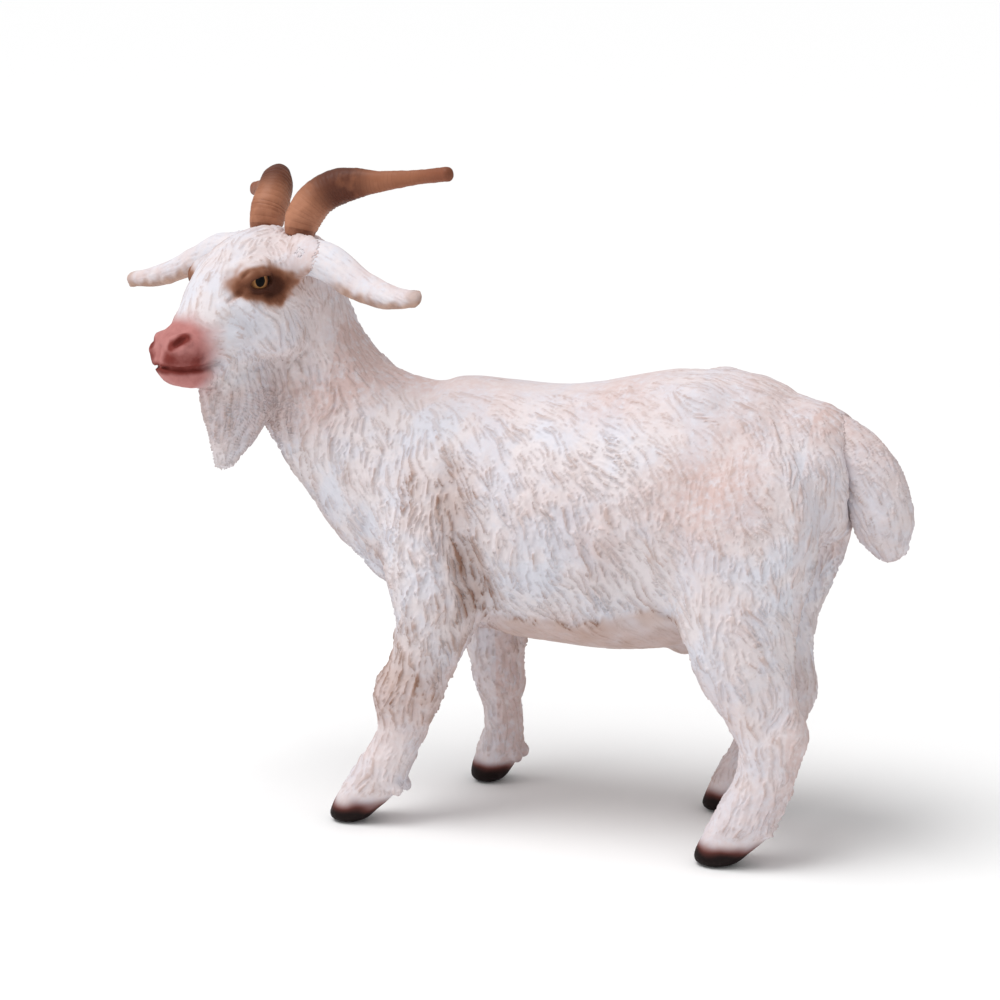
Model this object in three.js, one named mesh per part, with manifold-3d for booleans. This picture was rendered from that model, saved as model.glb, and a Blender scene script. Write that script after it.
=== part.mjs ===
// A moulded toy goat: a billy goat walking with its head turned to its left, cast in soft
// PVC as separate mouldings that plug together and are glued. Millimetres, +Z up. The goat
// walks towards -X and its left side faces -Y. The origin is on the ground, under the middle.
import * as THREE from "three";
import { ParametricGeometry } from "three/addons/geometries/ParametricGeometry.js";
import { mergeVertices } from "three/addons/utils/BufferGeometryUtils.js";
import Module from "manifold-3d";

const wasm = await Module();
wasm.setup();

// ---- Driving dimensions --------------------------------------------------------------
const GAP = 0.3; // glue gap between two mouldings
const BLOCK = 200; // side of the blocks that cut a moulding off at a plane
const LEG_JOINTS = {
  front: { out: 10.4, z: 24.8, tilt: 28 }, // where a leg leaves the body: `out` from the
  hind: { out: 10, z: 26, tilt: 25 }, // middle, rising outwards by `tilt` degrees
};
const STRIDE = 5; // how far the right hind hoof is ahead of the left one
const CLEFT = { width: 0.8, length: 4.4, height: 3 }; // between the two toes of a hoof
const NECK_CUT = { x: -15.5, z: 42, tilt: 37 }; // where the neck meets the trunk
const LEG_TENON = { size: 4.4, length: 6 };
const NECK_TENON = { size: 9, length: 7 };
const PIN = { size: 3.2, length: 4 }; // the square pins between the two body halves

// The head's own axes: forwards, left and up, from a point midway between the horn roots.
const POLL = [-28, -1.5, 74.3];
const HEAD_TURN = 57; // degrees, from straight ahead towards the goat's left
const HEAD_ROLL = 4; // degrees, left side up

const COLOURS = { coat: 0xe9dedd, horn: 0xa9765c };

const vec = (x, y, z) => new THREE.Vector3(x, y, z);
const rad = THREE.MathUtils.degToRad;
const LEFT = vec(0, -1, 0);

// ---- Geometry helpers ----------------------------------------------------------------

// Smooth value at t, from 0 to 1, along evenly spaced values (Catmull-Rom).
function along(values, t) {
  const last = values.length - 1;
  const place = Math.min(Math.max(t, 0), 1) * last;
  const i = Math.min(Math.floor(place), last - 1);
  const pick = (k) => values[Math.min(Math.max(k, 0), last)];
  const [a, b, c, d] = [pick(i - 1), pick(i), pick(i + 1), pick(i + 2)];
  const f = place - i;
  const curve = f * (2 * a - 5 * b + 4 * c - d + f * (3 * (b - c) + d - a));
  return b + 0.5 * f * (c - a + curve);
}

// A closed body swept through stations [centre, half width, half depth], each grown by
// `grow`. The width lies along `side` and the depth across it. Both ends have round caps.
function loft(stations, { side = LEFT, grow = 0, slices = 24, perStation = 3 } = {}) {
  const capSteps = 3;
  const stacks = (stations.length - 1) * perStation;
  const rows = stacks + 2 * capSteps;
  const widths = stations.map((s) => s[1] + grow);
  const depths = stations.map((s) => s[2] + grow);
  const axes = [0, 1, 2].map((k) => stations.map((s) => s[0].getComponent(k)));
  const centreAt = (t) => vec(...axes.map((values) => along(values, t)));

  const surface = (u, v, target) => {
    const row = Math.round(v * rows);
    const before = Math.max(capSteps - row, 0);
    const after = Math.max(row - capSteps - stacks, 0);
    const t = THREE.MathUtils.clamp((row - capSteps) / stacks, 0, 1);
    const turn = ((before + after) / capSteps) * (Math.PI / 2);
    const tangent = centreAt(t + 0.01).sub(centreAt(t - 0.01)).normalize();
    const across = side.clone().addScaledVector(tangent, -side.dot(tangent)).normalize();
    const up = tangent.clone().cross(across);
    const width = along(widths, t);
    const depth = along(depths, t);
    const reach = Math.sin(turn) * Math.min(width, depth) * (after ? 1 : -1);
    const angle = (Math.round(u * slices) % slices) * ((2 * Math.PI) / slices);
    target.copy(centreAt(t));
    target.addScaledVector(tangent, before + after ? reach : 0);
    target.addScaledVector(across, width * Math.cos(turn) * Math.cos(angle));
    target.addScaledVector(up, depth * Math.cos(turn) * Math.sin(angle));
  };
  return solid(new ParametricGeometry(surface, slices, rows));
}

// A closed three.js geometry as a solid that can be joined and cut.
function solid(geometry) {
  const bare = geometry.clone();
  bare.deleteAttribute("normal");
  bare.deleteAttribute("uv");
  const merged = mergeVertices(bare, 1e-3);
  const index = merged.index.array;
  const triangles = [];
  for (let i = 0; i < index.length; i += 3) {
    const [a, b, c] = index.subarray(i, i + 3);
    if (a !== b && b !== c && c !== a) triangles.push(a, b, c);
  }
  const made = (corners) =>
    new wasm.Manifold(
      new wasm.Mesh({
        numProp: 3,
        vertProperties: merged.attributes.position.array,
        triVerts: new Uint32Array(corners),
      }),
    );
  const first = made(triangles);
  return first.volume() > 0 ? first : made(triangles.reverse());
}

// A solid as a named mesh with its own material.
function moulding(name, body, colour) {
  const made = body.getMesh();
  const geometry = new THREE.BufferGeometry();
  geometry.setAttribute("position", new THREE.BufferAttribute(made.vertProperties, 3));
  geometry.setIndex(new THREE.BufferAttribute(made.triVerts, 1));
  geometry.computeVertexNormals();
  const material = new THREE.MeshStandardMaterial({
    color: colour,
    roughness: 0.6,
    metalness: 0,
  });
  const mesh = new THREE.Mesh(geometry, material);
  mesh.name = name;
  return mesh;
}

const join = (...bodies) => bodies.reduce((a, b) => a.add(b));

// `geometry`, which points along +Z from its origin, turned and moved into place.
function placed(geometry, point, direction) {
  const turn = new THREE.Quaternion().setFromUnitVectors(vec(0, 0, 1), direction);
  return solid(geometry.applyQuaternion(turn).translate(point.x, point.y, point.z));
}

// Everything beyond `point` in the direction of `normal`.
function beyond(point, normal) {
  const block = new THREE.BoxGeometry(BLOCK, BLOCK, BLOCK).translate(0, 0, BLOCK / 2);
  return placed(block, point, normal);
}

// A square tenon: `length` of it stands proud of `point`, and a root is in its own moulding.
function tenon(point, direction, { size, length }, grow) {
  const root = 2;
  const side = size + 2 * grow;
  const bar = new THREE.BoxGeometry(side, side, length + root + 2 * grow);
  return placed(bar.translate(0, 0, (length - root) / 2), point, direction);
}

// ---- Legs ----------------------------------------------------------------------------

// A leg runs from the shoulder or hip down to the hoof, which ends below the ground and is
// cut off level with it. Stations: x, y outwards, z, half width, half depth.
const FORELEG_TOP = [
  [-3.2, 7.6, 44, 3.6, 6],
  [-3.8, 8.6, 37, 4.8, 7.4],
  [-4.2, 9.4, 31, 4.8, 6.2],
];
const LEGS = {
  front_left: [
    ...FORELEG_TOP,
    [-5, 10, 26, 4.2, 4.9],
    [-6.4, 10.3, 21.2, 3.7, 4],
    [-8.3, 10.6, 15.5, 3.3, 3.6],
    [-9.9, 10.9, 10.2, 2.6, 2.9],
    [-12, 11.2, 6.2, 2.9, 3.3],
    [-14.1, 11.4, 3.7, 2.9, 2.9],
    [-16.1, 11.4, 1, 3, 2.5],
    [-17.7, 11.4, -1.6, 2.8, 2.2],
  ],
  front_right: [
    ...FORELEG_TOP,
    [-4.2, 9.6, 25, 4.1, 4.6],
    [-4.1, 9.7, 19, 3.4, 4],
    [-3.3, 9.7, 13.5, 2.8, 2.8],
    [-2.9, 9.6, 8, 2.5, 2.5],
    [-3.3, 9.6, 5, 2.8, 2.9],
    [-4.3, 9.6, 2.9, 2.9, 2.7],
    [-5.2, 9.6, 0.8, 2.9, 2.4],
    [-6, 9.6, -1.5, 2.7, 2.1],
  ],
  hind_left: hindLeg(0, 1.7),
  hind_right: hindLeg(STRIDE, -1.5),
};

// The hind legs have one shape. `stride` moves the hoof forwards, and `splay` outwards.
function hindLeg(stride, splay) {
  const top = 36;
  const stations = [
    [31, 6, 50.5, 3.2, 6.4],
    [33, 7.8, 45, 5.6, 9.4],
    [33.9, 8.8, 39, 5.6, 9.3],
    [33.8, 9.6, 32.5, 5, 8],
    [34.4, 10, 27.5, 4.4, 6.8],
    [35.7, 10, 23.3, 3.9, 5.9],
    [37.3, 10, 19.6, 3.4, 4.8],
    [38.5, 10, 15.8, 3.1, 4],
    [37.8, 10, 10.4, 2.7, 3.7],
    [35.8, 10, 6.3, 3, 3.8],
    [33.8, 10, 3.5, 3, 3.2],
    [32, 10, 1, 3.1, 2.7],
    [30.5, 10, -1.6, 2.9, 2.4],
  ];
  return stations.map(([x, y, z, width, depth]) => {
    const below = Math.max(1 - z / top, 0) * Math.min(1 + z / top, 2);
    return [x - stride * below, y + splay * below, z, width, depth];
  });
}

const sideOf = (name) => (name.endsWith("left") ? -1 : 1);

// The sloping plane between a leg and the body, with its normal towards the body.
function legJoint(name) {
  const { out, z, tilt } = LEG_JOINTS[name.split("_")[0]];
  const [x] = LEGS[name].find((station) => station[2] < z + 2);
  const normal = vec(0, -sideOf(name) * Math.sin(rad(tilt)), Math.cos(rad(tilt)));
  return { point: vec(x, sideOf(name) * out, z), normal };
}

function legLoft(name) {
  const side = sideOf(name);
  const stations = LEGS[name].map(([x, y, z, w, d]) => [vec(x, side * y, z), w, d]);
  return loft(stations, { slices: 16, perStation: 2 });
}

// The tenon on top of a leg, from the joint plane up into the body.
function legTenon(name, grow) {
  const { point, normal } = legJoint(name);
  return tenon(point, normal, LEG_TENON, grow);
}

// The slot that splits a hoof into two toes.
function cleft(name) {
  const [x, y, , , depth] = LEGS[name].at(-2);
  const slot = new THREE.BoxGeometry(CLEFT.length, CLEFT.width, 2 * CLEFT.height);
  return solid(slot.translate(x - depth - CLEFT.length / 4, sideOf(name) * y, 0));
}

function leg(name) {
  const ground = beyond(vec(0, 0, 0), vec(0, 0, 1));
  const { point, normal } = legJoint(name);
  const lower = legLoft(name).intersect(ground).subtract(beyond(point, normal));
  return join(lower.subtract(trunkLoft(GAP)), legTenon(name, 0)).subtract(cleft(name));
}

// ---- Trunk ---------------------------------------------------------------------------

// Stations: x, height of the centre, half width, half height.
const TRUNK = [
  [-13, 38.8, 7.8, 11.2],
  [-8.5, 39.5, 10.8, 14.8],
  [-2, 39.7, 12.8, 15.7],
  [8, 39.3, 14.2, 15.9],
  [18, 40, 14.2, 16.7],
  [27, 42.8, 13.6, 16.1],
  [34, 45.5, 11.6, 13.4],
  [38.8, 46.4, 8.4, 9.6],
];
const PINS = [
  [0, 45],
  [12, 31],
  [30, 46],
];

function trunkLoft(grow = 0) {
  const stations = TRUNK.map(([x, z, w, h]) => [vec(x, 0, z), w, h]);
  return loft(stations, { grow, slices: 28, perStation: 3 });
}

// The locating pins across the middle plane, from the left half into the right one.
function pins(grow) {
  return join(...PINS.map(([x, z]) => tenon(vec(x, 0, z), vec(0, 1, 0), PIN, grow)));
}

function scrotum() {
  const ball = new THREE.SphereGeometry(2.3, 16, 12).scale(1.1, 1, 1.2);
  return solid(ball.translate(25.5, 0, 26.4));
}

// The whole trunk, with the shoulders and haunches, before it is halved.
function body() {
  const shoulders = Object.keys(LEGS).map((name) => {
    const { point, normal } = legJoint(name);
    return legLoft(name).intersect(beyond(point.addScaledVector(normal, GAP), normal));
  });
  const whole = join(trunkLoft(), neckLoft(), scrotum(), ...shoulders);
  const sockets = join(
    neckTenon(GAP),
    tailLoft(GAP),
    ...Object.keys(LEGS).map((name) => legTenon(name, GAP)),
  );
  return whole.subtract(aheadOfNeckJoint(0)).subtract(sockets);
}

function bodyHalves() {
  const whole = body();
  const left = whole.intersect(beyond(vec(0, -GAP / 2, 0), vec(0, -1, 0)));
  const right = whole.intersect(beyond(vec(0, GAP / 2, 0), vec(0, 1, 0)));
  return { left: left.add(pins(0)), right: right.subtract(pins(GAP)) };
}

// ---- Head and neck -------------------------------------------------------------------

const turn = rad(HEAD_TURN);
const roll = rad(HEAD_ROLL);
const FORWARD = vec(-Math.cos(turn), -Math.sin(turn), 0);
const LEVEL_LEFT = vec(0, 0, 1).cross(FORWARD);
const HEAD_LEFT = LEVEL_LEFT.clone()
  .multiplyScalar(Math.cos(roll))
  .addScaledVector(vec(0, 0, 1), Math.sin(roll));
const HEAD_UP = FORWARD.clone().cross(HEAD_LEFT);

// A point given in the head's own axes: forwards, left and up.
function inHead(forward, left, up) {
  return vec(...POLL)
    .addScaledVector(FORWARD, forward)
    .addScaledVector(HEAD_LEFT, left)
    .addScaledVector(HEAD_UP, up);
}

const NECK_JOINT = vec(NECK_CUT.x, 0, NECK_CUT.z);
const NECK_AXIS = vec(-Math.cos(rad(NECK_CUT.tilt)), 0, Math.sin(rad(NECK_CUT.tilt)));

// What lies ahead of the joint between neck and trunk, from `gap` beyond the joint on.
function aheadOfNeckJoint(gap) {
  return beyond(NECK_JOINT.clone().addScaledVector(NECK_AXIS, gap), NECK_AXIS);
}

function neckTenon(grow) {
  return tenon(NECK_JOINT, NECK_AXIS.clone().negate(), NECK_TENON, grow);
}

// The neck, from deep in the chest up to the back of the skull.
function neckLoft() {
  const stations = [
    [vec(-4.5, 0, 39.8), 10, 13],
    [vec(-11, 0, 42), 10.2, 12.8],
    [vec(-17.4, 0, 46.2), 9, 10.4],
    [vec(-22.8, 0, 51.8), 7.8, 9.1],
    [vec(-26.3, -0.3, 57.6), 7, 8.8],
    [vec(-27.9, -1, 64.5), 6.6, 7.8],
  ];
  return loft(stations, { slices: 24, perStation: 3 });
}

// The skull and muzzle.
function skull() {
  const stations = [
    [inHead(-0.5, 0, -7.4), 6.2, 6.4],
    [inHead(3, 0, -8), 7.1, 7.5],
    [inHead(7.4, 0, -10.4), 6.9, 7.4],
    [inHead(11.6, 0, -13.4), 5.3, 5.8],
    [inHead(14.6, 0, -15), 4.2, 4.4],
    [inHead(16.4, 0, -15.5), 3.8, 3.8],
  ];
  return loft(stations, { side: HEAD_LEFT, slices: 20, perStation: 3 });
}

function beard() {
  const stations = [
    [inHead(8.4, 0, -17.5), 3.4, 4.8],
    [inHead(8.8, 0, -21.5), 3.1, 4.9],
    [inHead(9.6, 0, -25.3), 2.5, 3.8],
    [inHead(10.6, 0, -28.4), 1.6, 1.9],
    [inHead(11, 0, -29.8), 0.8, 0.8],
  ];
  return loft(stations, { side: HEAD_LEFT, slices: 12, perStation: 3 });
}

// An eyeball, which bulges slightly from the side of the face.
function eye(side) {
  const ball = new THREE.SphereGeometry(1.8, 14, 10);
  const centre = inHead(8.4, side * 5.8, -6.6);
  return solid(ball.translate(centre.x, centre.y, centre.z));
}

function head() {
  const whole = join(neckLoft().intersect(aheadOfNeckJoint(GAP)), skull(), beard());
  const front = join(whole, eye(1), eye(-1), neckTenon(0));
  const sockets = [1, -1].flatMap((side) => [horn(side, GAP), ear(side, GAP)]);
  return front.subtract(join(...sockets));
}

// ---- Horns and ears ------------------------------------------------------------------

// The horns rise, sweep back and spread. The right tip hangs lower than the left one.
function horn(side, grow = 0) {
  const bend = 4.2;
  const rise = side > 0 ? 1.2 : -3;
  const stations = [
    [inHead(0.6, side * 3.9, -1.8), 1.7, 2],
    [inHead(-0.1, side * 4.2, 0.4), 2.1, 2.4],
    [inHead(-1.8, side * 5.2, 2.7), 2.1, 2.4],
    [inHead(-4, side * 7.6, bend), 1.9, 2.2],
    [inHead(-6.2, side * 11.8, bend + 0.2 * rise), 1.35, 1.5],
    [inHead(-8.1, side * 16.6, bend + 0.6 * rise), 0.95, 1.05],
    [inHead(-9.6, side * 21.6, bend + rise), 0.75, 0.8],
  ];
  return loft(stations, { side: HEAD_LEFT, grow, slices: 12, perStation: 3 });
}

// The ears hang outwards and down, the left one slightly back and the right one forwards.
function ear(side, grow = 0) {
  const back = side > 0 ? 3.2 : -3.8;
  const at = (out, up, share) => inHead(2.6 - back * share, side * (7.6 + out), up);
  const stations = [
    [at(-1.2, -4.1, 0), 1.5, 0.9],
    [at(0.4, -4, 0), 1.9, 1.1],
    [at(4.6, -4.2, 0.2), 2.5, 1.1],
    [at(9.2, -5.6, 0.45), 2.5, 1],
    [at(14.4, -7.5, 0.75), 1.7, 0.85],
    [at(18.6, -8.5, 1), 0.8, 0.6],
  ];
  const broad = HEAD_UP.clone().addScaledVector(FORWARD, -0.5).normalize();
  return loft(stations, { side: broad, grow, slices: 12, perStation: 2 });
}

// ---- Tail ----------------------------------------------------------------------------

function tailLoft(grow = 0) {
  const stations = [
    [vec(38.4, 0, 51.6), 2.6, 2.9],
    [vec(42.2, 0, 50.8), 3, 3.4],
    [vec(45.9, 0, 48), 3.4, 3.8],
    [vec(48.2, 0, 43.6), 3.5, 4],
    [vec(49.3, 0, 39.8), 3, 3.4],
    [vec(49.8, 0, 38.4), 2.2, 2.4],
  ];
  return loft(stations, { grow, slices: 16, perStation: 3 });
}

// ---- Assembly ------------------------------------------------------------------------

const halves = bodyHalves();
const goat = new THREE.Group();
goat.add(
  moulding("body_left", halves.left, COLOURS.coat),
  moulding("body_right", halves.right, COLOURS.coat),
  moulding("head", head(), COLOURS.coat),
  moulding("horn_left", horn(1), COLOURS.horn),
  moulding("horn_right", horn(-1), COLOURS.horn),
  moulding("ear_left", ear(1), COLOURS.coat),
  moulding("ear_right", ear(-1), COLOURS.coat),
  moulding("tail", tailLoft(), COLOURS.coat),
);
for (const name of Object.keys(LEGS)) {
  goat.add(moulding(`leg_${name}`, leg(name), COLOURS.coat));
}

// The origin goes under the middle of the whole goat.
const middle = new THREE.Box3().setFromObject(goat).getCenter(vec(0, 0, 0));
goat.position.set(-middle.x, -middle.y, 0);

export default goat;
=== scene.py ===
"""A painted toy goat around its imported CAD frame.

The smooth CAD mouldings are joined into one level set and sculpted: muscles, face, hooves.
The surface is meshed finely, its vertices are moved to form wavy strands of fur, and it is cut
into the separate mouldings again. Lengths here are millimetres until a mesh is made.
"""
import math

import bpy
import numpy as np
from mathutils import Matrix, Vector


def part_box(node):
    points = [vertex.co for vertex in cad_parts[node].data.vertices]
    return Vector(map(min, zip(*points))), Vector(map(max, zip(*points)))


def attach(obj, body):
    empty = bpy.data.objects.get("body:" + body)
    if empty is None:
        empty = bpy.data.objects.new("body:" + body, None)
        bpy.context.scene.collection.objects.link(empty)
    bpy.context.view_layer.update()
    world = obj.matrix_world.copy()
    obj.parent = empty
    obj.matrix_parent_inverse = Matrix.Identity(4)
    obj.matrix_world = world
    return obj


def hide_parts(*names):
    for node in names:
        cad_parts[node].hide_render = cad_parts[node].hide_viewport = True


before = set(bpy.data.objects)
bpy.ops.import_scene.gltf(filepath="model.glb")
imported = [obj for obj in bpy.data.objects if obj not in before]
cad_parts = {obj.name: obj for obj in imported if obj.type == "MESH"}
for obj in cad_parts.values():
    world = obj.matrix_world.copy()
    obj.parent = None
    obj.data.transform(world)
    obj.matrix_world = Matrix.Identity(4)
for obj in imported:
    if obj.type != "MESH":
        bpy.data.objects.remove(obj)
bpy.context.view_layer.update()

import openvdb
from mathutils import Vector, noise

# ---- Sizes -----------------------------------------------------------------------------
MM = 0.001
COARSE = 0.4  # voxel of the level set that joins and smooths the mouldings
FINE = 0.16  # voxel of the final surface
FINE_BAND = 7 * FINE
GAP = 0.3  # glue gap between two CAD mouldings
BAND = 3.2  # reach of the coarse level set on each side of the surface
SOCKET_ROOM = -0.02  # glue fills the sockets, so they grip a little

BODY_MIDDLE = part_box("body_right")[0].y / MM - GAP / 2  # the goat's middle plane, along y
CENTRE = np.array([0.463, BODY_MIDDLE, 0.0])  # from the goat's own middle to the frame's

POLL = np.array([-28.0, -1.5, 74.3]) + CENTRE  # midway between the horn roots
HEAD_TURN = math.radians(57)
HEAD_ROLL = math.radians(4)
FORWARD = np.array([-math.cos(HEAD_TURN), -math.sin(HEAD_TURN), 0.0])
LEVEL_LEFT = np.cross([0, 0, 1], FORWARD)
HEAD_LEFT = LEVEL_LEFT * math.cos(HEAD_ROLL) + np.array([0, 0, 1]) * math.sin(HEAD_ROLL)
HEAD_UP = np.cross(FORWARD, HEAD_LEFT)
HEAD_AXES = np.array([FORWARD, HEAD_LEFT, HEAD_UP])


# ---- Meshes as arrays --------------------------------------------------------------------
def node_mesh(name):
    """A CAD node's vertices, in mm, and triangles."""
    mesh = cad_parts[name].data
    mesh.calc_loop_triangles()
    points = np.empty(len(mesh.vertices) * 3, np.float32)
    mesh.vertices.foreach_get("co", points)
    triangles = np.empty(len(mesh.loop_triangles) * 3, np.int32)
    mesh.loop_triangles.foreach_get("vertices", triangles)
    return points.reshape(-1, 3) / MM, triangles.reshape(-1, 3)


def vertex_normals(points, triangles):
    a, b, c = (points[triangles[:, k]] for k in range(3))
    face = np.cross(b - a, c - a)
    normals = np.zeros_like(points)
    for axis in range(3):
        for corner in range(3):
            normals[:, axis] += np.bincount(
                triangles[:, corner], face[:, axis], minlength=len(points)
            )
    return normals / np.maximum(np.linalg.norm(normals, axis=1, keepdims=True), 1e-12)


# ---- Level sets --------------------------------------------------------------------------
def level_set(points, triangles, voxel, band):
    return openvdb.FloatGrid.createLevelSetFromPolygons(
        np.ascontiguousarray(points, np.float32),
        triangles=np.ascontiguousarray(triangles, np.uint32),
        transform=openvdb.createLinearTransform(voxelSize=voxel),
        halfWidth=band / voxel,
    )


def surface_of(grid, level=0.0):
    """The level's surface as vertices and triangles.

    openvdb winds them to face inwards if the grid's class is "level set", and else outwards.
    """
    points, triangles, quads = grid.convertToPolygons(level, 0.0)
    halves = [quads[:, [0, 1, 2]], quads[:, [0, 2, 3]], triangles]
    joined = np.concatenate([np.asarray(h, np.int64).reshape(-1, 3) for h in halves])
    return np.asarray(points, np.float64), joined


class Block:
    """A dense box of level-set values, which shapes are added to and cut from."""

    def __init__(self, low, high, voxel, grid=None, fill=None):
        self.voxel = voxel
        self.corner = np.floor(np.array(low) / voxel).astype(int)
        shape = np.ceil(np.array(high) / voxel).astype(int) - self.corner + 1
        value = grid.background if fill is None else fill
        self.values = np.full(tuple(shape), value, np.float32)
        if grid is not None:
            grid.copyToArray(self.values, ijk=tuple(int(c) for c in self.corner))

    def paste(self, grid):
        grid.copyFromArray(self.values, ijk=tuple(int(c) for c in self.corner))

    def cut_by(self, points, triangles, room):
        """Leaves room around a closed surface that sits in this one."""
        grid = level_set(points, triangles, self.voxel, FINE_BAND)
        inner = np.full(self.values.shape, grid.background, np.float32)
        grid.copyToArray(inner, ijk=tuple(int(c) for c in self.corner))
        self.values = np.maximum(self.values, room - inner)

    def value(self, place):
        index = np.round(place / self.voxel).astype(int) - self.corner
        return self.values[tuple(np.clip(index, 0, np.array(self.values.shape) - 1))]

    def on_skin(self, place, lift=0.0):
        """The place moved onto the surface, or `lift` outwards from it."""
        place = np.array(place, float)
        step = 1.5 * self.voxel * np.eye(3)
        for _ in range(6):
            slope = np.array([self.value(place + s) - self.value(place - s) for s in step])
            slope /= max(np.linalg.norm(slope), 1e-6)
            place = place - slope * (self.value(place) - lift) * 0.9
        return place

    def part(self, centre, reach):
        """The slices around a place, and the points inside them."""
        low = np.floor((np.array(centre) - reach) / self.voxel).astype(int) - self.corner
        high = np.ceil((np.array(centre) + reach) / self.voxel).astype(int) - self.corner
        low = np.clip(low, 0, np.array(self.values.shape) - 1)
        high = np.clip(high + 1, 1, self.values.shape)
        window = tuple(slice(a, b) for a, b in zip(low, high))
        ranges = [(np.arange(a, b) + c) * self.voxel for a, b, c in zip(low, high, self.corner)]
        return window, np.stack(np.meshgrid(*ranges, indexing="ij"), -1)

    def add(self, shape, blend):
        window, points = self.part(shape.centre, shape.reach + blend)
        self.values[window] = smooth_min(self.values[window], shape(points), blend)

    def cut(self, shape, blend):
        window, points = self.part(shape.centre, shape.reach + blend)
        self.values[window] = -smooth_min(-self.values[window], shape(points), blend)


def level_grid(block):
    grid = openvdb.FloatGrid(BAND)
    grid.transform = openvdb.createLinearTransform(voxelSize=block.voxel)
    block.paste(grid)
    return grid


def smooth_min(a, b, blend):
    h = np.maximum(blend - np.abs(a - b), 0) / blend
    return np.minimum(a, b) - h * h * blend * 0.25


class Ball:
    """An ellipsoid: centre, three half axes, and the directions that they lie along."""

    def __init__(self, centre, radii, axes=np.eye(3)):
        self.centre = np.array(centre, float)
        self.radii = np.broadcast_to(np.array(radii, float), 3)
        self.axes = axes
        self.reach = self.radii.max() + 0.5

    def __call__(self, points):
        local = (points - self.centre) @ self.axes.T
        near = np.linalg.norm(local / self.radii, axis=-1)
        steep = np.linalg.norm(local / self.radii**2, axis=-1)
        return near * (near - 1) / np.maximum(steep, 1e-6)


class Rod:
    """A round rod along a polyline, with a radius at each of its points."""

    def __init__(self, points, radii):
        self.points = np.array(points, float)
        self.radii = np.broadcast_to(np.array(radii, float), len(points))
        low, high = self.points.min(0), self.points.max(0)
        self.centre = (low + high) / 2
        self.reach = (high - low) / 2 + self.radii.max() + 0.5

    def __call__(self, points):
        best = np.full(points.shape[:-1], np.inf)
        for k in range(len(self.points) - 1):
            a, b = self.points[k], self.points[k + 1]
            along = np.clip((points - a) @ (b - a) / max((b - a) @ (b - a), 1e-9), 0, 1)
            away = np.linalg.norm(points - a - along[..., None] * (b - a), axis=-1)
            radius = self.radii[k] + along * (self.radii[k + 1] - self.radii[k])
            best = np.minimum(best, away - radius)
        return best


def blurred(values, sigma):
    """Gaussian blur along each axis; sigma in voxels."""
    reach = int(math.ceil(2.5 * sigma))
    weights = np.exp(-0.5 * (np.arange(-reach, reach + 1) / sigma) ** 2)
    weights /= weights.sum()
    for axis in range(3):
        padding = [(reach, reach) if k == axis else (0, 0) for k in range(3)]
        padded = np.pad(values, padding, mode="edge")
        total = np.zeros_like(values)
        for k, weight in enumerate(weights):
            window = [slice(None)] * 3
            window[axis] = slice(k, k + values.shape[axis])
            total += np.float32(weight) * padded[tuple(window)]
        values = total
    return values


# ---- The joined, smoothed animal -----------------------------------------------------------
LEGS = ["front_left", "front_right", "hind_left", "hind_right"]
CORE = ["body_left", "body_right", "head"] + [f"leg_{leg}" for leg in LEGS]


def joined_core():
    """One level set of the trunk, neck, head and legs, with the glue gaps closed."""
    boxes = [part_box(name) for name in CORE]
    low = np.min([tuple(b[0]) for b in boxes], 0) / MM - BAND - 1
    high = np.max([tuple(b[1]) for b in boxes], 0) / MM + BAND + 1
    whole = Block(low, high, COARSE, fill=BAND)
    for name in CORE:
        part = Block(low, high, COARSE, level_set(*node_mesh(name), COARSE, BAND))
        whole.values = np.minimum(whole.values, part.values)
    # Grown by a little more than half the gap, and shrunk again, the joints are closed.
    points, triangles = surface_of(level_grid(whole), GAP)
    closed = Block(low, high, COARSE, level_set(points, triangles, COARSE, BAND + GAP))
    whole.values = closed.values + GAP
    return whole


# ---- Places on the animal ------------------------------------------------------------------

def at(x, y, z):
    """A place measured from the goat's own middle."""
    return CENTRE + (x, y, z)


def in_head(forward, left, up):
    """A place in the head's own axes, from between the horn roots."""
    return POLL + np.array([forward, left, up], float) @ HEAD_AXES


def path(place, *stations):
    return [place(*station) for station in stations]


def mirrored(stations, side):
    return [(x, side * y, z) for x, y, z in stations]


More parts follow.
